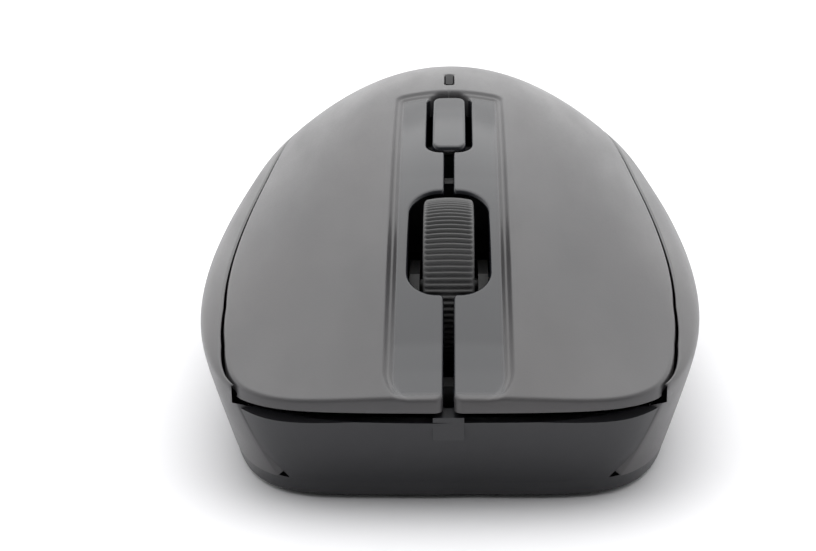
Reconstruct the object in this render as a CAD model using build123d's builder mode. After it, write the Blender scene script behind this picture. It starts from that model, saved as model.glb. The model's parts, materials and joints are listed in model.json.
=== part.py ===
from build123d import *
import os
from math import acos, cos, pi, radians, sin, sqrt
from numpy.polynomial import Polynomial

# Wireless two-button mouse. Millimetres. +Z is up, the buttons are at -Y and the palm end is at +Y.
# The origin is on the desk, under the middle of the mouse. The user's left button is at +X,
# because the mouse is looked at from its front end.

# ---------------------------------------------------------------- driving dimensions
LENGTH = 102.0
WIDTH = 63.0
SKATE_DROP = 0.6            # the base is this far above the desk
FLOOR_TOP = 2.2
WALL = 1.8                  # moulded wall thickness
SEAM = 0.25                 # each skin stops this far short of its seam line

# centre line of the top, front to rear: (y, height)
CROWN_LINE = [(-50.5, 13.3), (-40, 18.8), (-28, 25.2), (-14, 31.0), (0, 34.8), (12, 36.6),
              (20, 36.6), (28, 35.4), (38, 31.3), (46, 25.5), (50.6, 21.0)]
# how strongly the top falls to the sides, front to rear: (y, fall per mm squared)
CROWN_FALL = [(-50, 0.0025), (-28, 0.0105), (0, 0.0170), (28, 0.0188), (50, 0.0190)]

RIDGE_Z = 15.2              # height of the widest line of the side
RIDGE_ROUND = 2.0
LEAN_ABOVE = 0.68           # inward lean of the side above the ridge, mm per mm
LEAN_BELOW = 0.31           # inward tuck of the side below the ridge, mm per mm
FRONT_POWERS = (2.0, 6.5)   # how square the plan outline is at the front
REAR_POWERS = (2.8, 2.8)    # and at the rear

PANEL_FRONT_Y = -46.2       # joints between the side panels and the base's end walls
PANEL_REAR_Y = 40.2
PANEL_JOINT = 0.15          # half the width of those joints
FLEX_Y = 7.2                # the buttons bend along this line
FLEX_Z = 28.0
FLEX_GAP = 0.1

CHANNEL_HALF = 6.05         # sunken centre channel: half-width of its flat floor
CHANNEL_SLOPE = 1.3         # plan width of each sloping side
# (y, depth of the channel floor)
CHANNEL_DEPTHS = [(-49.6, 0.05), (-46, 0.8), (-42, 1.3), (-30, 1.4), (-15, 1.3), (0, 0.9), (6.3, 0.6)]
TROUGH_HALF = 8.8           # thicker strip of skin that backs the channel
TROUGH_WALL = 3.2

SLIT_HALF = 0.58            # slit between the two buttons
LIP_CENTRE_Z = 11.45        # underside of the buttons' front lip, at the middle and at the corner
LIP_CORNER_Z = 11.75
BUMPER_CENTRE_Z = 10.2      # top edge of the front bumper, at the middle and at the corner
BUMPER_CORNER_Z = 10.9
CORNER_X = 24.0

WHEEL_Y = -23.6
WHEEL_Z = 17.3
WHEEL_RADIUS = 11.0
WHEEL_HALF = 3.0
HUB_RADIUS = 9.2
AXLE_RADIUS = 1.2
RUNNING = 0.05              # radial clearance of a pin in its bore
OPENING_Y = -26.5           # wheel opening: middle, size and corner radius
OPENING_SIZE = (9.6, 17.0)
OPENING_CORNER = 4.0

CARRIER_PIVOT = (-42.0, 10.8)
PIN_RADIUS = 1.0
CHEEK_IN = 3.5
CHEEK_OUT = 4.7
PLATE_IN = 5.3
PLATE_OUT = 6.5
EAR_OUT = 9.3

DPI_Y = -2.0                # oblong button: middle, size, corner radius and gap round it
DPI_SIZE = (4.3, 14.0)
DPI_CORNER = 1.2
DPI_GAP = 0.75

BOARD_Z = 7.4               # underside of the main board
BOARD_TOP = 8.6
SMALL_BOARD_Z = 25.6        # underside of the raised board
SMALL_BOARD_TOP = 26.6

KEY_SWITCH_X = 15.0
KEY_SWITCH_Y = -31.6
KEY_PLUNGER_Y = -34.0
KEY_SWITCH_SIZE = (5.8, 12.8, 6.5)
MIDDLE_SWITCH_Y = -8.7

CELL_RADIUS = 5.25          # AAA cell
CELL_LENGTH = 43.3
CELL_X = 5.6
CELL_Z = 9.2
CELL_START_Y = -0.3
COVER_HALF = 12.0
COVER_FRONT_Y = -3.5
COVER_REAR_Y = 44.0

POST_X, POST_Y = 17.5, 33.0         # screw posts of the palm cover
EAR_SCREW_X = 7.6
CASE_SCREWS = [(POST_X, POST_Y), (-POST_X, POST_Y), (EAR_SCREW_X, -42.0), (-EAR_SCREW_X, -42.0)]
SCREW_SEAT_Z = 1.6          # the case screws' heads bear on the floor at this height
BOARD_SCREWS = [(-17.0, -42.0), (17.0, -42.0), (-17.0, -8.5), (17.0, -8.5)]
SENSOR_Y = -9.0
POWER_X, POWER_Y = 15.0, -20.0

SPAN = 40.0                 # half-size of the solids used for trimming

os.makedirs("parts", exist_ok=True)


def smooth_line(points, degree):
    """Smooth curve close to a few chosen points."""
    return Polynomial.fit([p[0] for p in points], [p[1] for p in points], degree)


crown_height = smooth_line(CROWN_LINE, 5)
crown_fall = smooth_line(CROWN_FALL, 2)


# ---------------------------------------------------------------- outer form
def top_z(x, y):
    """Height of the top skin over a point of the plan."""
    return crown_height(y) - crown_fall(y) * x * x


def side_inset(z):
    """How far the side stands in from the widest outline at one height."""
    spread = (LEAN_ABOVE + LEAN_BELOW) / 2
    tilt = (LEAN_ABOVE - LEAN_BELOW) / 2
    rise = z - RIDGE_Z
    return spread * (sqrt(rise * rise + RIDGE_ROUND**2) - RIDGE_ROUND) + tilt * rise


def outline_point(turn, inset):
    """Plan outline at an angle from -90 (front) to 90 degrees (rear), on the +X side."""
    along, across = FRONT_POWERS if turn < 0 else REAR_POWERS
    y = abs(sin(radians(turn))) ** (2 / along)
    x = max(cos(radians(turn)), 0.0) ** (2 / across)
    if turn < 0:
        y = -y
    return x * (WIDTH / 2 - inset), y * (LENGTH / 2 - inset)


def front_turn(width_share):
    """Angle at which the front half of the outline has this share of its full half-width."""
    return -acos(width_share ** (FRONT_POWERS[1] / 2)) * 180 / pi


FRONT_TURNS = [-90] + [front_turn(share) for share in (0.25, 0.48, 0.64, 0.75, 0.84, 0.92, 0.975)]
REAR_TURNS = [0, 20, 35, 48, 60, 70, 79, 90]
TURNS = FRONT_TURNS + REAR_TURNS


def seam_point(turn):
    """Point of the plan where the top skin meets the side."""
    low, high = FLOOR_TOP, 45.0
    for _ in range(40):
        middle = (low + high) / 2
        if top_z(*outline_point(turn, side_inset(middle))) > middle:
            low = middle
        else:
            high = middle
    return outline_point(turn, side_inset(low))


def full_loop(half_points):
    """Closes the +X half of an outline with its mirror image."""
    mirrored = [(-x, y) for x, y in reversed(half_points[1:-1])]
    return half_points + mirrored


def side_form(extra_inset, heights):
    """Solid bounded by the leaning side, shrunk by extra_inset."""
    with BuildPart() as form:
        for z in heights:
            inset = side_inset(z) + extra_inset
            with BuildSketch(Plane.XY.offset(z)):
                with BuildLine():
                    Spline(*full_loop([outline_point(turn, inset) for turn in TURNS]), periodic=True)
                make_face()
        loft()
    return form.part


def crown_form(lowered):
    """Solid under the top skin, lowered by some thickness."""
    with BuildPart() as form:
        for station in range(-56, 57, 8):
            middle = float(crown_height(station)) - lowered
            edge = float(top_z(SPAN, station)) - lowered
            with BuildSketch(Plane.XZ.offset(-station)):
                with BuildLine():
                    Bezier((-SPAN, edge), (0, 2 * middle - edge), (SPAN, edge))
                    Polyline((SPAN, edge), (SPAN, -SPAN), (-SPAN, -SPAN), (-SPAN, edge))
                make_face()
        loft()
    return form.part


def seam_prism(gap):
    """Upright prism over the area inside the seam line; a positive gap makes it smaller."""
    half = [seam_point(turn) for turn in TURNS]
    shrunk = [(x * (1 - gap / 27), y * (1 - gap / 49)) for x, y in half]
    with BuildPart() as prism:
        with BuildSketch(Plane.XY):
            with BuildLine():
                Spline(*full_loop(shrunk), periodic=True)
            make_face()
        extrude(amount=60)
    return prism.part


def channel_form():
    """Solid that cuts the sunken channel out of the top."""
    reach = 3.0
    with BuildPart() as form:
        for y, depth in CHANNEL_DEPTHS:
            floor = float(crown_height(y)) - depth
            slope = max(depth, 0.6) / CHANNEL_SLOPE
            top_half = CHANNEL_HALF + reach / slope
            with BuildSketch(Plane.XZ.offset(-y)):
                Polygon((-CHANNEL_HALF, floor), (CHANNEL_HALF, floor), (top_half, floor + reach),
                        (-top_half, floor + reach), align=None)
        loft()
    return form.part


def slice_box(x_range, y_range, z_range):
    """Plain block between two corners, for trimming."""
    low, high = zip(x_range, y_range, z_range)
    size = [b - a for a, b in zip(low, high)]
    return Pos(*low) * Box(*size, align=(Align.MIN, Align.MIN, Align.MIN), mode=Mode.PRIVATE)


def above_front_curve(centre_z, corner_z):
    """Everything at the front above a shallow smile-shaped curve."""
    with BuildPart() as block:
        with BuildSketch(Plane.XZ.offset(-PANEL_FRONT_Y)):
            with BuildLine():
                ThreePointArc((-CORNER_X, corner_z), (0, centre_z), (CORNER_X, corner_z))
                Polyline((CORNER_X, corner_z), (SPAN, corner_z), (SPAN, SPAN), (-SPAN, SPAN),
                         (-SPAN, corner_z), (-CORNER_X, corner_z))
            make_face()
        extrude(amount=12)
    return block.part


SIDE_HEIGHTS = [SKATE_DROP, 5, 9, 12, 14, 15.2, 16.4, 18.5, 22, 28, 40]
outer_side = side_form(0, SIDE_HEIGHTS)
inner_side = side_form(WALL, [FLOOR_TOP - 2] + SIDE_HEIGHTS[1:])
outer_crown = crown_form(0)
skin_underside = crown_form(WALL)
trough_underside = crown_form(TROUGH_WALL)
lid_pocket_floor = crown_form(WALL + 1.0)
skin_area = seam_prism(SEAM)
pocket_area = seam_prism(-SEAM)
channel = channel_form()

with BuildPart() as lid_pocket:
    add(pocket_area)
    add(lid_pocket_floor, mode=Mode.SUBTRACT)

with BuildPart() as top_skin:
    add(skin_area)
    add(outer_crown, mode=Mode.INTERSECT)
    add(skin_underside, mode=Mode.SUBTRACT)

with BuildPart() as trough:
    add(skin_area)
    add(outer_crown, mode=Mode.INTERSECT)
    add(slice_box((-TROUGH_HALF, TROUGH_HALF), (-60, FLEX_Y), (0, 60)), mode=Mode.INTERSECT)
    add(trough_underside, mode=Mode.SUBTRACT)

with BuildPart() as side_shell:
    add(outer_side)
    add(inner_side, mode=Mode.SUBTRACT)
    add(outer_crown, mode=Mode.INTERSECT)
    add(lid_pocket.part, mode=Mode.SUBTRACT)



def save(part, name):
    """Labels a finished piece and writes it."""
    part.label = name
    export_step(part, f"parts/{name}.step")


# ---------------------------------------------------------------- base
bumper_cut = above_front_curve(BUMPER_CENTRE_Z, BUMPER_CORNER_Z)
FRONT_END = (-60, PANEL_FRONT_Y - PANEL_JOINT)
REAR_END = (PANEL_REAR_Y + PANEL_JOINT, 60)
FULL = (-SPAN, SPAN)
BOSS_RADIUS = 2.5
BOARD_SCREW_RADIUS = 0.9
CASE_SCREW_RADIUS = 1.0
FRONT_SKATE = (0, -41.5, 30.0, 6.0)         # x, y, width, length of each skate
REAR_SKATES = {"left_rear_skate": (17.0, 33.5, 5.6, 13.0), "right_rear_skate": (-17.0, 33.5, 5.6, 13.0)}
SKATE_RECESS = 0.3
TAB_YS = (-22.0, 16.0)
TAB_X = 23.2
TAB_SIZE = (1.4, 8.0)
LENS_SIZE = (7.0, 9.0)
POWER_SLOT = (3.2, 8.6)
RAIL_Z = (1.1, 1.9)                         # groove along each side of the battery opening
RAIL_REACH = 1.2

with BuildPart() as bottom_case:
    add(outer_side)
    add(slice_box(FULL, (-60, 60), (0, FLOOR_TOP)), mode=Mode.INTERSECT)
    with BuildSketch(Plane.XY.offset(FLOOR_TOP)):
        with Locations(*[(x, y) for x, y in BOARD_SCREWS]):
            Circle(BOSS_RADIUS)
    extrude(amount=BOARD_Z - FLOOR_TOP)

with BuildPart() as front_bumper:
    add(side_shell.part)
    add(slice_box(FULL, FRONT_END, (FLOOR_TOP, 60)), mode=Mode.INTERSECT)
    add(bumper_cut, mode=Mode.SUBTRACT)

with BuildPart() as rear_wall:
    add(side_shell.part)
    add(slice_box(FULL, REAR_END, (FLOOR_TOP, 60)), mode=Mode.INTERSECT)

with bottom_case:
    add(front_bumper.part)
    add(rear_wall.part)
    # small tab that closes the slit between the buttons
    with BuildSketch(Plane.XY.offset(BUMPER_CENTRE_Z - 2)):
        with Locations((0, -48.7)):
            Rectangle(3.4, 3.0)
    extrude(amount=2.6)
    # battery opening, open through the floor, and a groove along each side of it
    with BuildSketch(Plane.XY):
        with Locations((0, (COVER_FRONT_Y + COVER_REAR_Y) / 2)):
            Rectangle(2 * COVER_HALF, COVER_REAR_Y - COVER_FRONT_Y)
    extrude(amount=FLOOR_TOP, mode=Mode.SUBTRACT)
    with BuildSketch(Plane.XY.offset(RAIL_Z[0])):
        with Locations((0, (COVER_FRONT_Y + COVER_REAR_Y) / 2)):
            Rectangle(2 * (COVER_HALF + RAIL_REACH), COVER_REAR_Y - COVER_FRONT_Y)
    extrude(amount=RAIL_Z[1] - RAIL_Z[0], mode=Mode.SUBTRACT)
    # seats for the sensor lens, the power knob and the panel tabs
    with BuildSketch(Plane.XY):
        with Locations((0, SENSOR_Y)):
            RectangleRounded(*LENS_SIZE, 1.5)
        with Locations((POWER_X, POWER_Y)):
            RectangleRounded(*POWER_SLOT, 1.0)
    extrude(amount=FLOOR_TOP, mode=Mode.SUBTRACT)
    with BuildSketch(Plane.XY.offset(FLOOR_TOP)):
        with Locations(*[(side * TAB_X, y) for side in (1, -1) for y in TAB_YS]):
            Rectangle(TAB_SIZE[0] + 0.1, TAB_SIZE[1] + 0.1)
    extrude(amount=-1.0, mode=Mode.SUBTRACT)
    # recesses for the skates
    with BuildSketch(Plane.XY.offset(SKATE_DROP)):
        for x, y, width, length in [FRONT_SKATE, *REAR_SKATES.values()]:
            with Locations((x, y)):
                RectangleRounded(width + 0.2, length + 0.2, 2.4)
    extrude(amount=SKATE_RECESS, mode=Mode.SUBTRACT)
    # screw holes: case screws from below, board screws from above
    with Locations(*[(x, y, 0) for x, y in CASE_SCREWS]):
        Cylinder(CASE_SCREW_RADIUS + 0.1, FLOOR_TOP, align=(Align.CENTER, Align.CENTER, Align.MIN),
                 mode=Mode.SUBTRACT)
        Cylinder(CASE_SCREW_RADIUS * 2, SCREW_SEAT_Z, align=(Align.CENTER, Align.CENTER, Align.MIN),
                 mode=Mode.SUBTRACT)
    with Locations(*[(x, y, FLOOR_TOP) for x, y in BOARD_SCREWS]):
        Cylinder(BOARD_SCREW_RADIUS, BOARD_Z - FLOOR_TOP, align=(Align.CENTER, Align.CENTER, Align.MIN),
                 mode=Mode.SUBTRACT)
save(bottom_case.part, "bottom_case")


# ---------------------------------------------------------------- side panels
def side_panel(side):
    """Side shell between the front bumper and the rear wall; side is 1 for +X."""
    x_range = (0, SPAN) if side > 0 else (-SPAN, 0)
    y_range = (PANEL_FRONT_Y + PANEL_JOINT, PANEL_REAR_Y - PANEL_JOINT)
    with BuildPart() as panel:
        add(side_shell.part)
        add(slice_box(x_range, y_range, (FLOOR_TOP, 60)), mode=Mode.INTERSECT)
        for y in TAB_YS:
            with BuildSketch(Plane.XY.offset(FLOOR_TOP - 1.0)):
                with Locations((side * TAB_X, y)):
                    Rectangle(*TAB_SIZE)
            extrude(amount=3.0)
            with BuildSketch(Plane.XY.offset(FLOOR_TOP)):
                with Locations((side * (TAB_X + 1.6), y)):
                    Rectangle(3.6, TAB_SIZE[1])
            extrude(amount=2.0)
        add(outer_side, mode=Mode.INTERSECT)
    return panel.part


save(side_panel(1), "left_side_panel")
save(side_panel(-1), "right_side_panel")


# ---------------------------------------------------------------- palm cover and light window
LENS_Y = 11.4
WINDOW_SIZE = (1.0, 5.6)
LENS_FOOT = (2.6, 7.4)
LENS_FOOT_Z = 31.2
LENS_STEM_GAP = 0.08

with BuildPart() as palm_cover:
    add(top_skin.part)
    add(slice_box(FULL, (FLEX_Y + FLEX_GAP, 60), (0, 60)), mode=Mode.INTERSECT)
    with BuildSketch(Plane.XY.offset(FLOOR_TOP)):
        with Locations((POST_X, POST_Y), (-POST_X, POST_Y)):
            Circle(2.6)
    extrude(amount=crown_height(POST_Y) - FLOOR_TOP)
    add(outer_crown, mode=Mode.INTERSECT)
    with BuildSketch(Plane.XY.offset(25)):
        with Locations((0, LENS_Y)):
            SlotOverall(WINDOW_SIZE[1] + 2 * LENS_STEM_GAP, WINDOW_SIZE[0] + 2 * LENS_STEM_GAP, 90)
    extrude(amount=15, mode=Mode.SUBTRACT)
    with Locations((POST_X, POST_Y, FLOOR_TOP), (-POST_X, POST_Y, FLOOR_TOP)):
        Cylinder(CASE_SCREW_RADIUS, 9.0, align=(Align.CENTER, Align.CENTER, Align.MIN), mode=Mode.SUBTRACT)
save(palm_cover.part, "palm_cover")

with BuildPart() as indicator_lens:
    with BuildSketch(Plane.XY.offset(LENS_FOOT_Z)):
        with Locations((0, LENS_Y)):
            Rectangle(*LENS_FOOT)
    extrude(amount=2.0)
    with BuildSketch(Plane.XY.offset(LENS_FOOT_Z)):
        with Locations((0, LENS_Y)):
            SlotOverall(WINDOW_SIZE[1], WINDOW_SIZE[0], 90)
    extrude(amount=8)
    add(outer_crown, mode=Mode.INTERSECT)
save(indicator_lens.part, "indicator_lens")


# ---------------------------------------------------------------- buttons
def lip_block():
    """What the front lip of the buttons has to stay above."""
    whole = slice_box(FULL, (-60, PANEL_FRONT_Y), (0, 14))
    with BuildPart() as block:
        add(whole)
        add(above_front_curve(LIP_CENTRE_Z, LIP_CORNER_Z), mode=Mode.SUBTRACT)
    return block.part


with BuildPart() as wheel_clearance:
    with BuildSketch(Plane.YZ):
        with Locations((WHEEL_Y, WHEEL_Z)):
            Circle(WHEEL_RADIUS + 0.7)
    extrude(amount=OPENING_SIZE[0] / 2, both=True)

with BuildPart() as button_openings:
    with BuildSketch(Plane.XY):
        with Locations((0, OPENING_Y)):
            RectangleRounded(*OPENING_SIZE, OPENING_CORNER)
        with Locations((0, DPI_Y)):
            RectangleRounded(DPI_SIZE[0] + 2 * DPI_GAP, DPI_SIZE[1] + 2 * DPI_GAP, DPI_CORNER + DPI_GAP)
        with Locations((0, (DPI_Y - 60) / 2)):
            Rectangle(2 * SLIT_HALF, 60 + DPI_Y)
    extrude(amount=60)
    add(wheel_clearance.part)
    add(channel)
    add(lip_block())
    add(slice_box(FULL, (FLEX_Y - FLEX_GAP, 60), (0, 60)))


def key_button(side):
    """Key skin on one side, with the rib that reaches down to its switch."""
    x_range = (SLIT_HALF, SPAN) if side > 0 else (-SPAN, -SLIT_HALF)
    with BuildPart() as button:
        add(top_skin.part)
        add(trough.part)
        add(slice_box(x_range, (-60, FLEX_Y), (0, 60)), mode=Mode.INTERSECT)
        add(button_openings.part, mode=Mode.SUBTRACT)
        with BuildSketch(Plane.XY.offset(BOARD_TOP + KEY_SWITCH_SIZE[2] + 0.9)):
            with Locations((side * KEY_SWITCH_X, KEY_PLUNGER_Y)):
                Rectangle(4.0, 1.6)
                Rectangle(1.2, 5.0)
        extrude(amount=3.5)
    return button.part


save(key_button(1), "left_button")
save(key_button(-1), "right_button")

with BuildPart() as dpi_button:
    with BuildSketch(Plane.XY.offset(31.0)):
        with Locations((0, DPI_Y)):
            RectangleRounded(*DPI_SIZE, DPI_CORNER)
    extrude(amount=6)
    add(crown_form(0.35), mode=Mode.INTERSECT)
    with BuildSketch(Plane.XY.offset(30.2)):
        with Locations((0, DPI_Y)):
            Rectangle(3.0, 3.0)
            Rectangle(1.0, 10.0)
    extrude(amount=1.2)
save(dpi_button.part, "dpi_button")


# ---------------------------------------------------------------- inner frame
def turned_profile(points, x_from, x_to):
    """Plate with a profile of (y, z) points, between two X planes."""
    with BuildPart() as plate:
        with BuildSketch(Plane.YZ.offset(x_from)):
            Polygon(*points, align=None)
        extrude(amount=x_to - x_from)
    return plate.part


def cross_pin(radius, x_from, x_to, y, z):
    """Round bar along X."""
    with BuildPart() as pin:
        with BuildSketch(Plane.YZ.offset(x_from)):
            with Locations((y, z)):
                Circle(radius)
        extrude(amount=x_to - x_from)
    return pin.part


PLATE_PROFILE = [(-44.5, 9.2), (-8.0, 9.2), (-8.0, 21.0), (16.5, 21.0), (16.5, 40.0), (-44.5, 40.0)]
EAR_TOP = 12.4
frame_top = crown_form(TROUGH_WALL + 0.9)

with BuildPart() as inner_frame:
    for side in (1, -1):
        low, high = sorted((side * PLATE_IN, side * PLATE_OUT))
        add(turned_profile(PLATE_PROFILE, low, high))
    add(slice_box((-PLATE_OUT, PLATE_OUT), (-12.0, -10.8), (18.6, 40)))
    add(slice_box((-PLATE_OUT, PLATE_OUT), (-12.0, 16.5), (SMALL_BOARD_Z - 1.2, SMALL_BOARD_Z)))
    add(frame_top, mode=Mode.INTERSECT)
    for side in (1, -1):
        low, high = sorted((side * PLATE_IN, side * EAR_OUT))
        add(slice_box((low, high), (-44.5, -39.5), (FLOOR_TOP, EAR_TOP)))
        add(slice_box((low, high), (-8.6, -5.2), (FLOOR_TOP, 24.0)))
        bore_low, bore_high = sorted((side * (PLATE_IN - 1), side * 8.2))
        add(cross_pin(PIN_RADIUS + RUNNING, bore_low, bore_high, *CARRIER_PIVOT), mode=Mode.SUBTRACT)
        sight_low, sight_high = sorted((side * (PLATE_IN - 1), side * (PLATE_OUT + 1)))
        add(cross_pin(1.8, sight_low, sight_high, WHEEL_Y, 11.8), mode=Mode.SUBTRACT)
    with Locations(*[(side * EAR_SCREW_X, CARRIER_PIVOT[0], FLOOR_TOP) for side in (1, -1)]):
        Cylinder(CASE_SCREW_RADIUS, 6.0, align=(Align.CENTER, Align.CENTER, Align.MIN), mode=Mode.SUBTRACT)
save(inner_frame.part, "inner_frame")


# ---------------------------------------------------------------- scroll wheel
HUB_SLOTS = 24
with BuildPart() as wheel_hub:
    with BuildSketch(Plane.YZ.offset(-WHEEL_HALF)):
        with Locations((WHEEL_Y, WHEEL_Z)):
            Circle(HUB_RADIUS)
    extrude(amount=2 * WHEEL_HALF)
    for side in (1, -1):
        with BuildSketch(Plane.YZ.offset(side * WHEEL_HALF)):
            with Locations((WHEEL_Y, WHEEL_Z)):
                Circle(HUB_RADIUS - 1.2)
                Circle(2.6, mode=Mode.SUBTRACT)
        extrude(amount=-side * 2.2, mode=Mode.SUBTRACT)
    with BuildSketch(Plane.YZ.offset(-WHEEL_HALF)):
        with Locations((WHEEL_Y, WHEEL_Z)):
            with PolarLocations(5.7, HUB_SLOTS):
                Rectangle(2.6, 0.7)
    extrude(amount=2 * WHEEL_HALF, mode=Mode.SUBTRACT)
    add(cross_pin(AXLE_RADIUS, -CHEEK_OUT - 0.2, CHEEK_OUT + 0.2, WHEEL_Y, WHEEL_Z))
save(wheel_hub.part, "wheel_hub")

with BuildPart() as wheel_tyre:
    with BuildSketch(Plane.YZ.offset(-WHEEL_HALF)):
        with Locations((WHEEL_Y, WHEEL_Z)):
            Circle(WHEEL_RADIUS)
            Circle(HUB_RADIUS, mode=Mode.SUBTRACT)
    extrude(amount=2 * WHEEL_HALF)
    fillet(wheel_tyre.edges().filter_by(GeomType.CIRCLE).group_by(SortBy.RADIUS)[-1], 0.6)
save(wheel_tyre.part, "wheel_tyre")

CHEEK_PROFILE = [(-43.6, 9.4), (-24.0, 13.6), (-7.4, 13.2), (-7.4, 15.2), (-12.5, 17.6), (-20.6, 20.0),
                 (-26.6, 20.0), (-33.0, 15.8), (-43.6, 12.2)]
with BuildPart() as wheel_carrier:
    for side in (1, -1):
        low, high = sorted((side * CHEEK_IN, side * CHEEK_OUT))
        add(turned_profile(CHEEK_PROFILE, low, high))
    add(slice_box((-CHEEK_OUT, CHEEK_OUT), (-43.6, -40.6), (9.6, 12.0)))
    add(slice_box((-CHEEK_OUT, CHEEK_OUT), (-10.6, -7.4), (13.2, 15.2)))
    add(cross_pin(AXLE_RADIUS + RUNNING, -CHEEK_OUT - 1, CHEEK_OUT + 1, WHEEL_Y, WHEEL_Z), mode=Mode.SUBTRACT)
    for side in (1, -1):
        low, high = sorted((side * (CHEEK_OUT - 0.5), side * 8.0))
        add(cross_pin(PIN_RADIUS, low, high, *CARRIER_PIVOT))
save(wheel_carrier.part, "wheel_carrier")

DETENT_Z = (10.4, 12.0)
DETENT_X = 3.25                             # the leaf runs between the hub and the cheek
with BuildPart() as detent_spring:
    with BuildSketch(Plane.XY.offset(DETENT_Z[0])):
        with BuildLine():
            Polyline((DETENT_X, -40.5), (DETENT_X, WHEEL_Y - 2.0), (DETENT_X - 0.9, WHEEL_Y),
                     (DETENT_X, WHEEL_Y + 2.0))
            offset(amount=0.08)
        make_face()
    extrude(amount=DETENT_Z[1] - DETENT_Z[0])
save(detent_spring.part, "detent_spring")


# ---------------------------------------------------------------- main board and what it carries
BOARD_FRONT_Y = -44.9
BOARD_REAR_Y = -5.0
with BuildPart() as main_board:
    with BuildSketch(Plane.XY.offset(BOARD_Z)):
        Polygon((-13, BOARD_FRONT_Y), (13, BOARD_FRONT_Y), (21.0, -40), (24.5, -30), (25.0, -20),
                (25.0, BOARD_REAR_Y), (-25.0, BOARD_REAR_Y), (-25.0, -20), (-24.5, -30), (-21.0, -40),
                align=None)
        with Locations((0, -42.4)):
            Rectangle(2 * EAR_OUT + 0.6, 6.0, mode=Mode.SUBTRACT)
        with Locations((0, -26.2)):
            Rectangle(9.8, 27.6, mode=Mode.SUBTRACT)
        for side in (1, -1):
            with Locations((side * 7.3, -6.9)):
                Rectangle(4.6, 4.0, mode=Mode.SUBTRACT)
        with Locations(*BOARD_SCREWS):
            Circle(BOARD_SCREW_RADIUS + 0.15, mode=Mode.SUBTRACT)
    extrude(amount=BOARD_TOP - BOARD_Z)
save(main_board.part, "main_board")


def screws(points, seat_z, head_height, shank_length, radius, upward):
    """Group of screws; upward is -1 for heads below their seat, as on the underside."""
    with BuildPart() as group:
        with BuildSketch(Plane.XY.offset(seat_z)):
            with Locations(*points):
                Circle(radius * 1.8)
        extrude(amount=upward * head_height)
        with BuildSketch(Plane.XY.offset(seat_z)):
            with Locations(*points):
                Circle(radius)
        extrude(amount=-upward * shank_length)
        with BuildSketch(Plane.XY.offset(seat_z + upward * head_height)):
            with Locations(*points):
                Rectangle(radius * 2.2, radius * 0.5)
                Rectangle(radius * 0.5, radius * 2.2)
        extrude(amount=-upward * head_height * 0.6, mode=Mode.SUBTRACT)
    return group.part


save(screws(BOARD_SCREWS, BOARD_TOP, 0.9, 5.0, BOARD_SCREW_RADIUS - 0.02, 1), "board_screws")


def microswitch(x, y, plunger_y, size):
    """Body of a snap-action switch with a well for its plunger."""
    with BuildPart() as body:
        with BuildSketch(Plane.XY.offset(BOARD_TOP)):
            with Locations((x, y)):
                Rectangle(size[0], size[1])
        extrude(amount=size[2])
        with BuildSketch(Plane.XY.offset(BOARD_TOP + size[2])):
            with Locations((x, plunger_y)):
                Rectangle(2.2, 1.6)
        extrude(amount=-1.6, mode=Mode.SUBTRACT)
    return body.part


def plunger(x, y, z_low, z_high, width, length):
    """Small block that a button pushes down."""
    with BuildPart() as block:
        with BuildSketch(Plane.XY.offset(z_low)):
            with Locations((x, y)):
                RectangleRounded(width, length, 0.4)
        extrude(amount=z_high - z_low)
    return block.part


KEY_SWITCH_TOP = BOARD_TOP + KEY_SWITCH_SIZE[2]
for name, side in {"left_switch": 1, "right_switch": -1}.items():
    save(microswitch(side * KEY_SWITCH_X, KEY_SWITCH_Y, KEY_PLUNGER_Y, KEY_SWITCH_SIZE), name)
    save(plunger(side * KEY_SWITCH_X, KEY_PLUNGER_Y, KEY_SWITCH_TOP - 0.9, KEY_SWITCH_TOP + 0.8, 1.8, 1.2),
         name + "_plunger")


def tact_switch(y, z, height):
    """Small square push switch with a round well."""
    with BuildPart() as body:
        with BuildSketch(Plane.XY.offset(z)):
            with Locations((0, y)):
                Rectangle(5.8, 5.8)
        extrude(amount=height)
        with BuildSketch(Plane.XY.offset(z + height)):
            with Locations((0, y)):
                Circle(1.8)
        extrude(amount=-1.4, mode=Mode.SUBTRACT)
    return body.part


def round_plunger(y, z_low, z_high):
    """Round push pin of a tact switch."""
    with BuildPart() as pin:
        with BuildSketch(Plane.XY.offset(z_low)):
            with Locations((0, y)):
                Circle(1.7)
        extrude(amount=z_high - z_low)
    return pin.part


MIDDLE_SWITCH_TOP = BOARD_TOP + 3.4
DPI_SWITCH_TOP = SMALL_BOARD_TOP + 2.8
save(tact_switch(MIDDLE_SWITCH_Y, BOARD_TOP, 3.4), "middle_switch")
save(round_plunger(MIDDLE_SWITCH_Y, MIDDLE_SWITCH_TOP - 0.7, MIDDLE_SWITCH_TOP + 0.9), "middle_switch_plunger")
save(tact_switch(DPI_Y, SMALL_BOARD_TOP, 2.8), "dpi_switch")
save(round_plunger(DPI_Y, DPI_SWITCH_TOP - 0.8, DPI_SWITCH_TOP + 0.7), "dpi_switch_plunger")


def block_part(x, y, z, width, length, height, edge):
    """Moulded block with softened upright edges, standing on z."""
    with BuildPart() as block:
        with BuildSketch(Plane.XY.offset(z)):
            with Locations((x, y)):
                RectangleRounded(width, length, edge)
        extrude(amount=height)
    return block.part


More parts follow.
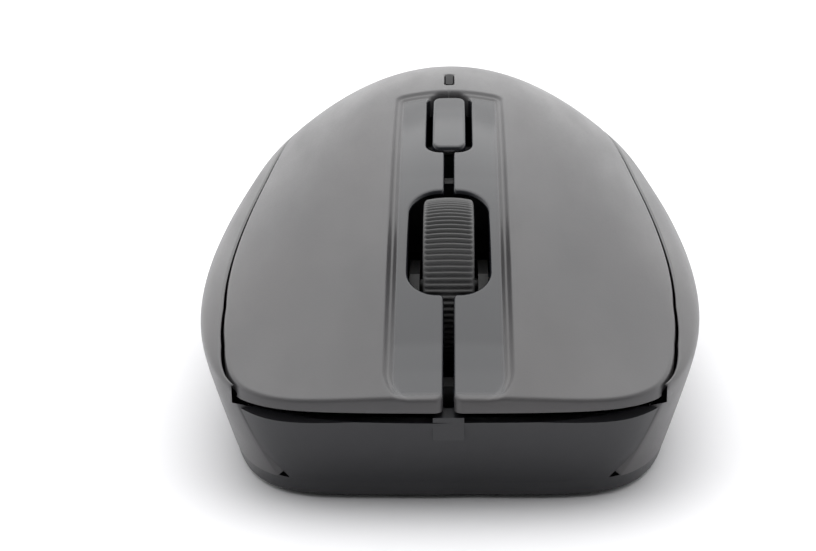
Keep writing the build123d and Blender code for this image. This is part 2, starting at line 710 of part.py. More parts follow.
save(block_part(10.0, WHEEL_Y, BOARD_TOP, 2.6, 4.4, 5.4, 0.5), "ir_emitter")
save(block_part(-10.0, WHEEL_Y, BOARD_TOP, 2.6, 4.4, 5.4, 0.5), "ir_receiver")
save(block_part(-16.0, -16.5, BOARD_TOP, 7.0, 7.0, 1.1, 0.3), "mcu_chip")
save(block_part(-8.6 - 2.0, -12.5, BOARD_TOP, 3.2, 2.5, 0.8, 0.3), "crystal")
with BuildPart() as capacitor:
    with BuildSketch(Plane.XY.offset(BOARD_TOP)):
        with Locations((20.5, -14.5)):
            Circle(2.5)
    extrude(amount=6.0)
save(capacitor.part, "capacitor")

save(block_part(0, SENSOR_Y, BOARD_Z - 2.6, 9.6, 7.4, 2.6, 0.4), "sensor_chip")
save(block_part(0, SENSOR_Y - 6.2, BOARD_Z - 3.0, 3.0, 4.0, 3.0, 0.4), "sensor_led")
with BuildPart() as sensor_lens:
    with BuildSketch(Plane.XY.offset(1.0)):
        with Locations((0, SENSOR_Y)):
            RectangleRounded(LENS_SIZE[0] - 0.2, LENS_SIZE[1] - 0.2, 1.4)
    extrude(amount=FLOOR_TOP - 1.0)
    with BuildSketch(Plane.XY.offset(FLOOR_TOP)):
        with Locations((0, SENSOR_Y)):
            RectangleRounded(LENS_SIZE[0] + 3.0, LENS_SIZE[1] + 2.0, 1.4)
    extrude(amount=0.8)
    with BuildSketch(Plane.XY.offset(1.0)):
        with Locations((0, SENSOR_Y)):
            Circle(1.6)
    extrude(amount=0.6, mode=Mode.SUBTRACT)
    with Locations((0, SENSOR_Y, FLOOR_TOP + 0.8)):
        Cylinder(1.5, 1.4, align=(Align.CENTER, Align.CENTER, Align.MIN))
save(sensor_lens.part, "sensor_lens")

# on/off slide switch under the board, with its knob in the floor's slot
with BuildPart() as power_switch:
    with BuildSketch(Plane.XY.offset(BOARD_Z)):
        with Locations((POWER_X, POWER_Y)):
            Rectangle(4.0, 9.0)
    extrude(amount=-3.4)
    with BuildSketch(Plane.XY.offset(BOARD_Z - 3.4)):
        with Locations((POWER_X, POWER_Y)):
            Rectangle(1.8, 5.4)
    extrude(amount=2.0, mode=Mode.SUBTRACT)
save(power_switch.part, "power_switch")

with BuildPart() as power_slider:
    with BuildSketch(Plane.XY.offset(1.0)):
        with Locations((POWER_X, POWER_Y - 1.4)):
            RectangleRounded(2.8, 5.0, 0.8)
    extrude(amount=2.4)
    with BuildSketch(Plane.XY.offset(2.8)):
        with Locations((POWER_X, POWER_Y - 1.4)):
            Rectangle(1.5, 2.2)
    extrude(amount=2.6)
save(power_slider.part, "power_slider")


# ---------------------------------------------------------------- raised board
with BuildPart() as dpi_board:
    with BuildSketch(Plane.XY.offset(SMALL_BOARD_Z)):
        with Locations((0, 2.9)):
            Rectangle(2 * PLATE_IN - 0.3, 26.4)
        with Locations((3.6, 6.4), (-3.6, 6.4)):
            Circle(0.8, mode=Mode.SUBTRACT)
    extrude(amount=SMALL_BOARD_TOP - SMALL_BOARD_Z)
save(dpi_board.part, "dpi_board")
save(block_part(0, LENS_Y, SMALL_BOARD_TOP, 2.0, 3.2, 1.6, 0.3), "indicator_led")

with BuildPart() as ribbon_cable:
    with BuildSketch(Plane.YZ.offset(-2.0)):
        with BuildLine():
            RIBBON = [(15.3, SMALL_BOARD_TOP + 0.5), (17.9, SMALL_BOARD_TOP + 0.5), (17.9, 17.2),
                      (-2.6, 17.2), (-2.6, BOARD_TOP + 0.3), (-5.4, BOARD_TOP + 0.3)]
            FilletPolyline(*RIBBON, radius=0.9)
            offset(amount=0.15)
        make_face()
    extrude(amount=4.0)
save(ribbon_cable.part, "ribbon_cable")


# ---------------------------------------------------------------- power
def cell(x, nub_end):
    """AAA cell along Y; nub_end is -1 when its positive end faces the front."""
    with BuildPart() as battery:
        with BuildSketch(Plane.XZ.offset(-CELL_START_Y)):
            with Locations((x, CELL_Z)):
                Circle(CELL_RADIUS)
        extrude(amount=-CELL_LENGTH)
        chamfer(battery.edges().filter_by(GeomType.CIRCLE), 0.4)
        nub_y = CELL_START_Y if nub_end < 0 else CELL_START_Y + CELL_LENGTH
        with BuildSketch(Plane.XZ.offset(-nub_y)):
            with Locations((x, CELL_Z)):
                Circle(1.9)
        extrude(amount=-nub_end * 0.8)
    return battery.part


save(cell(CELL_X, 1), "battery_1")
save(cell(-CELL_X, -1), "battery_2")

with BuildPart() as battery_contacts:
    for x, y in ((-CELL_X, CELL_START_Y - 1.3), (CELL_X, CELL_START_Y + CELL_LENGTH + 0.9)):
        with BuildSketch(Plane.XZ.offset(-y)):
            with Locations((x, CELL_Z - 0.5)):
                Rectangle(8.0, 7.0)
        extrude(amount=-0.4)
save(battery_contacts.part, "battery_contacts")


COIL_TURNS = 3.5


def coil(x, y_from, y_to):
    """Contact spring between a cell's flat end and the bay's wall."""
    with BuildPart() as spring:
        with BuildLine() as wire:
            Helix(pitch=abs(y_to - y_from) / COIL_TURNS, height=abs(y_to - y_from), radius=2.4,
                  center=(x, y_from, CELL_Z), direction=(0, 1 if y_to > y_from else -1, 0))
        with BuildSketch(Plane(origin=wire.line @ 0, z_dir=wire.line % 0)):
            Circle(0.25)
        sweep(is_frenet=True)
    return spring.part


REAR_END_Y = CELL_START_Y + CELL_LENGTH
front_coil = coil(CELL_X, CELL_START_Y - 0.35, CELL_START_Y - 2.3)
rear_coil = coil(-CELL_X, REAR_END_Y + 0.35, REAR_END_Y + 1.4)
with BuildPart() as battery_springs:
    add(front_coil)
    add(rear_coil)
save(battery_springs.part, "battery_springs")

COVER_GAP = 0.15
COVER_THICKNESS = 1.2
with BuildPart() as battery_cover:
    with BuildSketch(Plane.XY.offset(SKATE_DROP)):
        with Locations((0, (COVER_FRONT_Y + COVER_REAR_Y) / 2)):
            Rectangle(2 * (COVER_HALF - COVER_GAP), COVER_REAR_Y - COVER_FRONT_Y - 2 * COVER_GAP)
    extrude(amount=COVER_THICKNESS)
    with BuildSketch(Plane.XY.offset(SKATE_DROP)):
        with Locations(*[(0, 6.0 + 1.6 * step) for step in range(4)]):
            Rectangle(10.0, 0.6)
    extrude(amount=0.35, mode=Mode.SUBTRACT)
save(battery_cover.part, "battery_cover")


# ---------------------------------------------------------------- feet and case screws
def skate(x, y, width, length):
    """Low-friction foot with softened lower edges."""
    with BuildPart() as foot:
        with BuildSketch(Plane.XY):
            with Locations((x, y)):
                RectangleRounded(width, length, 2.3)
        extrude(amount=SKATE_DROP + SKATE_RECESS)
        fillet(foot.edges().group_by(Axis.Z)[0], 0.25)
    return foot.part


save(skate(*FRONT_SKATE), "front_skate")
for name, place in REAR_SKATES.items():
    save(skate(*place), name)

save(screws(CASE_SCREWS, SCREW_SEAT_Z, 0.6, 6.0, CASE_SCREW_RADIUS - 0.02, -1), "case_screws")
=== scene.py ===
import json
from math import cos, pi, radians, sin, sqrt

import bpy
import numpy as np
from mathutils import Matrix, Vector
from mathutils.geometry import delaunay_2d_cdt
from numpy.polynomial import Polynomial


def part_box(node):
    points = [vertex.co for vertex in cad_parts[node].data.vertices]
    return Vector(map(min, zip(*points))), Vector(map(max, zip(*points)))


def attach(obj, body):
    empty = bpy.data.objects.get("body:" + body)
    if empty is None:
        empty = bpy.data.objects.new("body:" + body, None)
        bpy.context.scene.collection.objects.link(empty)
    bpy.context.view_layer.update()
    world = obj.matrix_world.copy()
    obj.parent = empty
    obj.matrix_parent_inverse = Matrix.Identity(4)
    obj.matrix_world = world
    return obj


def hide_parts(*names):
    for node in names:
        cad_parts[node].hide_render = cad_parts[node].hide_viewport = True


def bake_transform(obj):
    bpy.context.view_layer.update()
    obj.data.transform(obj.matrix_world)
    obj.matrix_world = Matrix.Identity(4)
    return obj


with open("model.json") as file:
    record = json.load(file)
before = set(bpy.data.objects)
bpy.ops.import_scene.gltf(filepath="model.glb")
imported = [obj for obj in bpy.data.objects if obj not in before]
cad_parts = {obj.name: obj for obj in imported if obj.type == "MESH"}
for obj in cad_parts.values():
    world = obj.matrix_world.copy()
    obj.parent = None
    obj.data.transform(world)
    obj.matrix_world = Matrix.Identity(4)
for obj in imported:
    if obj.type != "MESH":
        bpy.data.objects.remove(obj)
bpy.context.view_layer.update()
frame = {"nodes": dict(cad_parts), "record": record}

MM = 0.001

# ---------------------------------------------------------------- form, in millimetres, as the CAD has it
LENGTH = 102.0
WIDTH = 63.0
CROWN_LINE = [(-50.5, 13.3), (-40, 18.8), (-28, 25.2), (-14, 31.0), (0, 34.8), (12, 36.6),
              (20, 36.6), (28, 35.4), (38, 31.3), (46, 25.5), (50.6, 21.0)]
CROWN_FALL = [(-50, 0.0025), (-28, 0.0105), (0, 0.0170), (28, 0.0188), (50, 0.0190)]
RIDGE_Z = 15.2
RIDGE_ROUND = 2.0
LEAN_ABOVE = 0.68
LEAN_BELOW = 0.31
FRONT_POWERS = (2.0, 6.5)
REAR_POWERS = (2.8, 2.8)
FLOOR_TOP = 2.2
SEAM = 0.4
CHANNEL_HALF = 6.05
CHANNEL_SLOPE = 1.3
CHANNEL_DEPTHS = [(-51, 0.2), (-48.5, 0.55), (-46, 0.9), (-42, 1.3), (-30, 1.4), (-15, 1.3), (0, 0.9), (6.3, 0.6)]
SLIT_HALF = 0.58
SKIN = 1.8
TROUGH_SKIN = 3.2
TROUGH_HALF = 8.4
LIP_CENTRE_Z = 11.45
LIP_CORNER_Z = 11.75
CORNER_X = 24.0
WHEEL_SIZE = (11.0, 3.0)      # radius and half-width of the tyre
OPENING_Y = -26.5
OPENING_SIZE = (9.6, 17.0)
DPI_Y = -2.0
DPI_SIZE = (4.3, 14.0)
DPI_CORNER = 1.2
DPI_GAP = 0.75


def node_mm(name):
    """Lowest and highest corner of a CAD node, in millimetres."""
    low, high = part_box(name)
    return np.array(low) / MM, np.array(high) / MM


FLEX_Y = node_mm("palm_cover")[0][1] - 0.1
tyre_low, tyre_high = node_mm("wheel_tyre")
WHEEL_Y, WHEEL_Z = (tyre_low + tyre_high)[1:] / 2


def smooth_line(points, degree):
    """Smooth curve close to a few chosen points."""
    return Polynomial.fit([p[0] for p in points], [p[1] for p in points], degree)


crown_height = smooth_line(CROWN_LINE, 5)
crown_fall = smooth_line(CROWN_FALL, 2)


def top_z(x, y):
    """Height of the top skin over the plan."""
    return crown_height(y) - crown_fall(y) * x * x


def side_inset(z):
    """How far the side stands in from the widest outline at one height."""
    spread = (LEAN_ABOVE + LEAN_BELOW) / 2
    tilt = (LEAN_ABOVE - LEAN_BELOW) / 2
    rise = z - RIDGE_Z
    return spread * (np.sqrt(rise * rise + RIDGE_ROUND**2) - RIDGE_ROUND) + tilt * rise


def outline(turn, inset):
    """Plan outline at angles from -90 (front) to 90 degrees (rear), on the +X side."""
    turn = np.asarray(turn, float)
    along = np.where(turn < 0, FRONT_POWERS[0], REAR_POWERS[0])
    across = np.where(turn < 0, FRONT_POWERS[1], REAR_POWERS[1])
    y = np.sign(turn) * np.abs(np.sin(np.radians(turn))) ** (2 / along)
    x = np.clip(np.cos(np.radians(turn)), 0, None) ** (2 / across)
    return np.stack([x * (WIDTH / 2 - inset), y * (LENGTH / 2 - inset)], -1)


def seam_height(turn):
    """Height at which the side meets the top skin."""
    low = np.full(np.shape(turn), FLOOR_TOP)
    high = np.full(np.shape(turn), 45.0)
    for _ in range(40):
        middle = (low + high) / 2
        point = outline(turn, side_inset(middle))
        above = top_z(point[..., 0], point[..., 1]) > middle
        low = np.where(above, middle, low)
        high = np.where(above, high, middle)
    return low


def even_steps(points, step):
    """The same open line with points a fixed distance apart."""
    points = np.asarray(points, float)
    run = np.concatenate([[0], np.cumsum(np.linalg.norm(np.diff(points, axis=0), axis=1))])
    marks = np.linspace(0, run[-1], max(2, int(round(run[-1] / step)) + 1))
    return np.stack([np.interp(marks, run, points[:, k]) for k in range(points.shape[1])], -1)


# angles along the half outline, closely and evenly spaced on the plan
shares = np.linspace(0, 1, 900)
raw_turns = np.concatenate([-np.degrees(np.arccos(shares ** (FRONT_POWERS[1] / 2))), np.linspace(0.05, 90, 900)])
raw_plan = outline(raw_turns, 0)
raw_run = np.concatenate([[0], np.cumsum(np.linalg.norm(np.diff(raw_plan, axis=0), axis=1))])
OUTLINE_STEP = 0.45
turns = np.interp(np.arange(0, raw_run[-1], OUTLINE_STEP), raw_run, raw_turns)
turns = np.append(turns, 90.0)
seam_tops = seam_height(turns)
seam_plan = outline(turns, side_inset(seam_tops))


# ---------------------------------------------------------------- mesh helpers
def make_object(name, points, faces, body, node=None, material=None):
    """Mesh in millimetres, smooth-shaded, riding on a body."""
    mesh = bpy.data.meshes.new(name)
    mesh.from_pydata([tuple(p * MM) for p in np.asarray(points, float)], [], [tuple(f) for f in faces])
    mesh.validate()
    mesh.update()
    mesh.shade_smooth()
    piece = bpy.data.objects.new(name, mesh)
    bpy.context.scene.collection.objects.link(piece)
    if material:
        mesh.materials.append(material)
    if node:
        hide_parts(node)
    if body:
        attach(piece, body)
    return piece


def rounded_corner(before, corner, after, radius, spacing=0.12):
    """Points of the arc that rounds one corner of an outline."""
    before, corner, after = (np.asarray(p, float) for p in (before, corner, after))
    into = (corner - before) / np.linalg.norm(corner - before)
    out = (after - corner) / np.linalg.norm(after - corner)
    turn = np.arccos(np.clip(into @ out, -1, 1))
    reach = radius * np.tan(turn / 2)
    start = corner - into * reach
    side = np.sign(into[0] * out[1] - into[1] * out[0])
    centre = start + side * radius * np.array([-into[1], into[0]])
    first = np.arctan2(*(start - centre)[::-1])
    steps = max(3, int(radius * turn / spacing))
    angles = first + side * turn * np.linspace(0, 1, steps + 1)
    return centre + radius * np.stack([np.cos(angles), np.sin(angles)], -1)


def rounded_loop(corners):
    """Closed outline from (x, y, radius) corners; radius 0 keeps the point."""
    points = []
    count = len(corners)
    for index, (x, y, radius) in enumerate(corners):
        if radius == 0:
            points.append([(x, y)])
            continue
        before = corners[index - 1][:2]
        after = corners[(index + 1) % count][:2]
        points.append(rounded_corner(before, (x, y), after, radius))
    return np.concatenate([np.asarray(p, float).reshape(-1, 2) for p in points])


def fill_gaps(loop, step):
    """Adds points to the long straight runs of a closed outline."""
    result = []
    for start, end in zip(loop, np.roll(loop, -1, axis=0)):
        count = max(1, int(np.ceil(np.linalg.norm(end - start) / step)))
        result.append(start + (end - start) * np.linspace(0, 1, count, endpoint=False)[:, None])
    return np.concatenate(result)


def moved_in(loop, distance):
    """The same anticlockwise outline, moved inwards."""
    before = loop - np.roll(loop, 1, axis=0)
    after = np.roll(loop, -1, axis=0) - loop
    normals = []
    for edge in (before, after):
        length = np.maximum(np.linalg.norm(edge, axis=1, keepdims=True), 1e-9)
        normals.append(np.stack([-edge[:, 1], edge[:, 0]], -1) / length)
    middle = normals[0] + normals[1]
    middle /= np.maximum(np.linalg.norm(middle, axis=1, keepdims=True), 1e-9)
    stretch = 1 / np.clip((middle * normals[0]).sum(1, keepdims=True), 0.6, 1)
    return loop + middle * distance * stretch


def distance_to(points, lines):
    """Shortest plan distance from each point to a set of open lines."""
    best = np.full(len(points), 1e9)
    for line in lines:
        for start, end in zip(line[:-1], line[1:]):
            run = end - start
            share = np.clip(((points - start) @ run) / max(run @ run, 1e-12), 0, 1)
            gap = np.linalg.norm(points - start - share[:, None] * run, axis=1)
            best = np.minimum(best, gap)
    return best


def inside(points, loop):
    """Which points lie inside a closed outline."""
    result = np.zeros(len(points), bool)
    for (x0, y0), (x1, y1) in zip(loop, np.roll(loop, -1, axis=0)):
        crosses = (y0 > points[:, 1]) != (y1 > points[:, 1])
        with np.errstate(divide="ignore", invalid="ignore"):
            reach = (x1 - x0) * (points[:, 1] - y0) / (y1 - y0) + x0
        result ^= crosses & (points[:, 0] < reach)
    return result


EDGE_RINGS = (0.0, 0.06, 0.14, 0.24, 0.36, 0.52)


def skin_mesh(loop, columns, rows, top, under, hole=None, creases=()):
    """Closed shell over a plan outline: top and under give heights for (n, 2) plan points."""
    loops = [loop] + [moved_in(loop, d) for d in EDGE_RINGS[1:]]
    hole_loops = []
    if hole is not None:
        hole_loops = [hole] + [moved_in(hole, d) for d in EDGE_RINGS[1:]]
    grid = np.stack(np.meshgrid(columns, rows, indexing="ij"), -1).reshape(-1, 2)
    keep = inside(grid, loop)
    if hole is not None:
        keep &= ~inside(grid, hole)
    grid = grid[keep]
    borders = [np.vstack([loop, loop[:1]])]
    if hole is not None:
        borders.append(np.vstack([hole, hole[:1]]))
    grid = grid[distance_to(grid, borders) > EDGE_RINGS[-1] + 0.15]
    if creases:
        grid = grid[distance_to(grid, creases) > 0.1]
    points = []
    edges = []
    for ring in loops + hole_loops:
        start = sum(len(p) for p in points)
        points.append(ring)
        count = len(ring)
        edges += [(start + k, start + (k + 1) % count) for k in range(count)]
    for line in creases:
        inner = inside(line, loop) & (distance_to(line, borders) > EDGE_RINGS[-1] + 0.08)
        start = sum(len(p) for p in points)
        points.append(line[inner])
        numbers = np.cumsum(inner) - 1 + start
        edges += [(numbers[k], numbers[k + 1]) for k in range(len(line) - 1) if inner[k] and inner[k + 1]]
    points.append(grid)
    plan = np.concatenate(points)
    flat, _, triangles, *_ = delaunay_2d_cdt([Vector(p) for p in plan], edges, [], 0, 1e-5)
    flat = np.array([tuple(v) for v in flat])
    triangles = np.array([t for t in triangles if len(t) == 3])
    centres = flat[triangles].mean(axis=1)
    keep = inside(centres, loop)
    if hole is not None:
        keep &= ~inside(centres, hole)
    triangles = triangles[keep]
    a, b, c = (flat[triangles[:, k]] for k in range(3))
    area = (b[:, 0] - a[:, 0]) * (c[:, 1] - a[:, 1]) - (b[:, 1] - a[:, 1]) * (c[:, 0] - a[:, 0])
    triangles = triangles[np.abs(area) > 1e-9]
    area = area[np.abs(area) > 1e-9]
    triangles[area < 0] = triangles[area < 0][:, ::-1]
    used = np.unique(triangles)
    renumber = np.full(len(flat), -1)
    renumber[used] = np.arange(len(used))
    flat = flat[used]
    triangles = renumber[triangles]
    upper = np.column_stack([flat, top(flat)])
    lower = np.column_stack([flat, under(flat)])
    lower[:, 2] = np.minimum(lower[:, 2], upper[:, 2] - 0.05)
    count = len(flat)
    faces = [tuple(t) for t in triangles]
    faces += [tuple(t[::-1] + count) for t in triangles]
    directed = {}
    for t in triangles:
        for k in range(3):
            directed[(t[k], t[(k + 1) % 3])] = True
    for start, end in directed:
        if (end, start) not in directed:
            faces.append((end, start, start + count, end + count))
    return np.vstack([upper, lower]), faces, count


# ---------------------------------------------------------------- top skins
def edge_drop(distance, radius):
    """How far a rounded edge falls below the surface at a distance from it."""
    gap = np.clip(radius - distance, 0, radius)
    return radius - np.sqrt(radius * radius - gap * gap)


def soft_step(value):
    """0 to 1 with rounded corners."""
    share = np.clip(value, 0, 1)
    return share * share * (3 - 2 * share)


CHANNEL_FRONT_Y = -52.5
CHANNEL_REAR_Y = 6.3
CHANNEL_FRONT_CORNER = 6.0
CHANNEL_REAR_CORNER = 1.4
station_y, station_depth = zip(*CHANNEL_DEPTHS)


CHANNEL_MIDDLE_Y = (CHANNEL_FRONT_Y + CHANNEL_REAR_Y) / 2


def channel_depth(plan):
    """Depth of the sunken channel below the crowned top."""
    x, y = np.abs(plan[:, 0]), plan[:, 1]
    corner = np.where(y < CHANNEL_MIDDLE_Y, CHANNEL_FRONT_CORNER, CHANNEL_REAR_CORNER)
    over_x = x - (CHANNEL_HALF + CHANNEL_SLOPE - corner)
    over_y = np.abs(y - CHANNEL_MIDDLE_Y) - ((CHANNEL_REAR_Y - CHANNEL_FRONT_Y) / 2 - corner)
    outside = np.hypot(np.clip(over_x, 0, None), np.clip(over_y, 0, None))
    reach = corner - outside - np.minimum(np.maximum(over_x, over_y), 0)
    depth = np.interp(y, station_y, station_depth)
    step = reach / CHANNEL_SLOPE
    # two faint steps down the sloping side catch the light as fine lines
    slope = 0.62 * soft_step(step * 1.9) + 0.38 * soft_step(step * 2.1 - 1.1)
    return depth * slope


def channel_line(reach):
    """Plan line on the +X side that runs a fixed distance inside the channel's edge."""
    half = CHANNEL_HALF + CHANNEL_SLOPE - reach
    rear, front = CHANNEL_REAR_Y - reach, CHANNEL_FRONT_Y + reach
    corners = [rounded_corner((0, rear), (half, rear), (half, front), max(CHANNEL_REAR_CORNER - reach, 0.1)),
               rounded_corner((half, rear), (half, front), (0, front), max(CHANNEL_FRONT_CORNER - reach, 0.1))]
    return even_steps(np.vstack([[(0, rear)], *corners, [(0, front)]]), 0.3)


def skin_top(plan, edges, radius):
    """Visible top surface over plan points, with its rounded edges."""
    surface = top_z(plan[:, 0], plan[:, 1]) - channel_depth(plan)
    return surface - edge_drop(distance_to(plan, edges), radius)


def lip_z(x):
    """Underside of the buttons' front lip."""
    share = np.clip(np.abs(x) / CORNER_X, 0, 1)
    return LIP_CENTRE_Z + (LIP_CORNER_Z - LIP_CENTRE_Z) * share**2


def skin_under(plan):
    """Underside of the top skins: thicker behind the channel, cleared for the wheel and lip."""
    x, y = plan[:, 0], plan[:, 1]
    thick = SKIN + (TROUGH_SKIN - SKIN) * soft_step((TROUGH_HALF + 0.8 - np.abs(x)) / 0.8)
    under = top_z(x, y) - thick
    under = np.where(y < -46, np.maximum(under, lip_z(x)), under)
    wheel_reach = WHEEL_SIZE[0] + 0.8
    over = np.sqrt(np.clip(wheel_reach**2 - (y - WHEEL_Y) ** 2, 0, None)) + WHEEL_Z
    near = (np.abs(x) < OPENING_SIZE[0] / 2 + 0.8) & (np.abs(y - WHEEL_Y) < wheel_reach)
    return np.where(near, np.maximum(under, over), under)


SEAM_SHRINK = np.array([1 - SEAM / 27, 1 - SEAM / 49])
SHOULDER = [(-47, 0.0), (-44, 0.5), (-38, 1.7), (-30, 2.5), (0, 2.6), (20, 2.2), (38, 0.6), (42, 0.0)]


def shoulder_width(y):
    """How far the side shell wraps over onto the top at each station."""
    return np.interp(y, [point[0] for point in SHOULDER], [point[1] for point in SHOULDER])


seam_line = seam_plan * SEAM_SHRINK
seam_line[:, 0] -= shoulder_width(seam_line[:, 1])
SLIT_CORNER = 1.1


def key_outline():
    """Plan outline of the +X button, anticlockwise from its rear inner corner."""
    half_x, half_y = OPENING_SIZE[0] / 2, OPENING_SIZE[1] / 2
    dpi_x, dpi_y = DPI_SIZE[0] / 2 + DPI_GAP, DPI_SIZE[1] / 2 + DPI_GAP
    front = seam_line[(seam_line[:, 1] < FLEX_Y) & (seam_line[:, 0] > SLIT_HALF + 2)]
    rear_x = np.interp(FLEX_Y, seam_line[:, 1], seam_line[:, 0])
    front_y = seam_line[0, 1]
    corners = [(0, FLEX_Y, 0), (0, DPI_Y + dpi_y, 0), (dpi_x, DPI_Y + dpi_y, DPI_CORNER + DPI_GAP),
               (dpi_x, DPI_Y - dpi_y, DPI_CORNER + DPI_GAP), (SLIT_HALF, DPI_Y - dpi_y, 0.3),
               (SLIT_HALF, OPENING_Y + half_y, 0.5), (half_x, OPENING_Y + half_y, 3.6),
               (half_x, OPENING_Y - half_y, 3.6), (SLIT_HALF, OPENING_Y - half_y, 0.5),
               (SLIT_HALF, front_y, SLIT_CORNER)]
    corners += [(x, y, 0) for x, y in front]
    corners += [(rear_x, FLEX_Y, 0)]
    return fill_gaps(rounded_loop(corners), OUTLINE_STEP)


CHANNEL_STEPS = np.arange(0, CHANNEL_SLOPE + 0.01, CHANNEL_SLOPE / 12)


def key_skin(side, name, node, material):
    """Button skin from its outline; side is 1 for +X."""
    loop = key_outline()
    start = int(np.argmax(loop[:, 1] < DPI_Y + DPI_SIZE[1] / 2 + DPI_GAP + 0.01))
    last = np.flatnonzero(loop[:, 1] < FLEX_Y - 1e-6)[-1]
    edges = [loop[start:last + 2]]
    columns = np.arange(0.2, WIDTH / 2, 0.6)
    rows = np.arange(-LENGTH / 2, FLEX_Y, 0.6)
    creases = [channel_line(reach) for reach in CHANNEL_STEPS]
    points, faces, _ = skin_mesh(loop, columns, rows, lambda plan: skin_top(plan, edges, 0.36), skin_under,
                                 creases=creases)
    if side < 0:
        points = points * np.array([-1, 1, 1])
        faces = [tuple(reversed(face)) for face in faces]
    piece = make_object(name, points, faces, None, node, material)
    piece.data.set_sharp_from_angle(angle=radians(50))
    low, high = node_mm(node)
    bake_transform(piece)
    return piece


lens_low, lens_high = node_mm("indicator_lens")
WINDOW_Y = (lens_low + lens_high)[1] / 2
WINDOW_SIZE = (1.16, 5.76)


def palm_skin(material):
    """Rear top skin, with the slot for the light window."""
    half = seam_line[seam_line[:, 1] > FLEX_Y]
    rear_x = np.interp(FLEX_Y, seam_line[:, 1], seam_line[:, 0])
    half = np.vstack([[(rear_x, FLEX_Y)], half])
    other = half[::-1][1:] * np.array([-1, 1])
    loop = fill_gaps(np.vstack([half, other]), OUTLINE_STEP)
    edges = [np.vstack([half, other])]
    half_x, half_y = WINDOW_SIZE[0] / 2, WINDOW_SIZE[1] / 2
    round_end = half_x * 0.99
    hole = rounded_loop([(half_x, WINDOW_Y - half_y, round_end), (half_x, WINDOW_Y + half_y, round_end),
                         (-half_x, WINDOW_Y + half_y, round_end), (-half_x, WINDOW_Y - half_y, round_end)])
    hole = fill_gaps(hole, 0.3)
    edges.append(np.vstack([hole, hole[:1]]))
    columns = np.arange(-WIDTH / 2 + 0.3, WIDTH / 2, 0.7)
    rows = np.arange(FLEX_Y + 0.35, LENGTH / 2, 0.7)
    points, faces, _ = skin_mesh(loop, columns, rows, lambda plan: skin_top(plan, edges, 0.36), skin_under,
                                 hole[::-1])
    piece = make_object("palm_cover_skin", points, faces, "case", "palm_cover", material)
    piece.data.set_sharp_from_angle(angle=radians(50))
    return piece


# ---------------------------------------------------------------- side shells and wheel
def side_half_width(y, z):
    """Half-width of the side surface at one station and height."""
    along = np.where(y < 0, FRONT_POWERS[0], REAR_POWERS[0])
    across = np.where(y < 0, FRONT_POWERS[1], REAR_POWERS[1])
    inset = side_inset(z)
    share = np.clip(np.abs(y) / (LENGTH / 2 - inset), 0, 1)
    return (WIDTH / 2 - inset) * (1 - share**along) ** (1 / across)


def seam_z(y):
    """Height of the seam at each station."""
    low = np.full(np.shape(y), FLOOR_TOP)
    high = np.full(np.shape(y), 45.0)
    for _ in range(40):
        middle = (low + high) / 2
        above = top_z(side_half_width(y, middle), y) > middle
        low = np.where(above, middle, low)
        high = np.where(above, high, middle)
    return low


PANEL_ROWS = 150
PANEL_WALL = 1.3
PANEL_RIM = 0.2
PANEL_BOTTOM = FLOOR_TOP + 0.05
SHOULDER_SOFTENING = 60
INNER_CLEARANCE = 2.2


def panel_section(y, shrink):
    """Closed loop of (x, z) points round the side shell at one station."""
    top = float(seam_z(np.array(y)))
    heights = np.linspace(PANEL_BOTTOM + shrink, top, 80)
    edge_x = float(side_half_width(np.array(y), np.array(top)))
    over = np.linspace(edge_x, edge_x - shoulder_width(y) - 0.05, 20)[1:]
    side_path = np.stack([side_half_width(np.full(80, y), heights), heights], -1)
    path = even_steps(np.vstack([side_path, np.stack([over, top_z(over, y)], -1)]), 0.1)
    path = np.stack([np.interp(np.linspace(0, 1, PANEL_ROWS), np.linspace(0, 1, len(path)), path[:, k])
                     for k in (0, 1)], -1)
    for _ in range(SHOULDER_SOFTENING):
        path[1:-1] = (path[:-2] + 2 * path[1:-1] + path[2:]) / 4
    along = np.gradient(path, axis=0)
    along /= np.linalg.norm(along, axis=1, keepdims=True)
    inward = np.stack([-along[:, 1], along[:, 0]], -1)
    run = np.concatenate([[0], np.cumsum(np.linalg.norm(np.diff(path, axis=0), axis=1))])
    rim = np.clip(1 - (run[-1] - run) / PANEL_RIM, 0, 1)
    outer = path + inward * (shrink + PANEL_RIM * (1 - np.sqrt(1 - rim * rim)))[:, None]
    inner = (path + inward * (PANEL_WALL - shrink))[::-1][::3]
    beside_skin = inner[:, 1] > path[-1, 1] - INNER_CLEARANCE
    inner[beside_skin, 0] = np.maximum(inner[beside_skin, 0], path[-1, 0])
    return np.vstack([outer, inner])


def side_panel_skin(side, name, node, material):
    """Ridged side shell between the front bumper and the rear wall."""
    low, high = node_mm(node)
    stations = outline(turns, 0)[:, 1]
    stations = stations[(stations > low[1] + 0.5) & (stations < high[1] - 0.5)]
    ends = (0.0, 0.05, 0.12)
    stations = np.concatenate([low[1] + np.array(ends), stations, high[1] - np.array(ends[::-1])])
    shrinks = np.zeros(len(stations))
    shrinks[:3] = shrinks[:-4:-1] = (0.12, 0.04, 0.0)
    loops = [panel_section(y, shrink) for y, shrink in zip(stations, shrinks)]
    count = len(loops[0])
    points = [(x * side, y, z) for y, loop in zip(stations, loops) for x, z in loop]
    faces = [tuple(range(count)), tuple(range(len(points) - 1, len(points) - count - 1, -1))]
    for k in range(len(stations) - 1):
        for m in range(count):
            n = (m + 1) % count
            faces.append((k * count + n, k * count + m, (k + 1) * count + m, (k + 1) * count + n))
    if side > 0:
        faces = [tuple(reversed(face)) for face in faces]
    piece = make_object(name, points, faces, "case", node, material)
    piece.data.set_sharp_from_angle(angle=radians(50))
    return piece


RIBS = 96
RIB_STEPS = 8
RIB_DEPTH = 0.26
TYRE_CROWN = 0.35
TYRE_STATIONS = 25


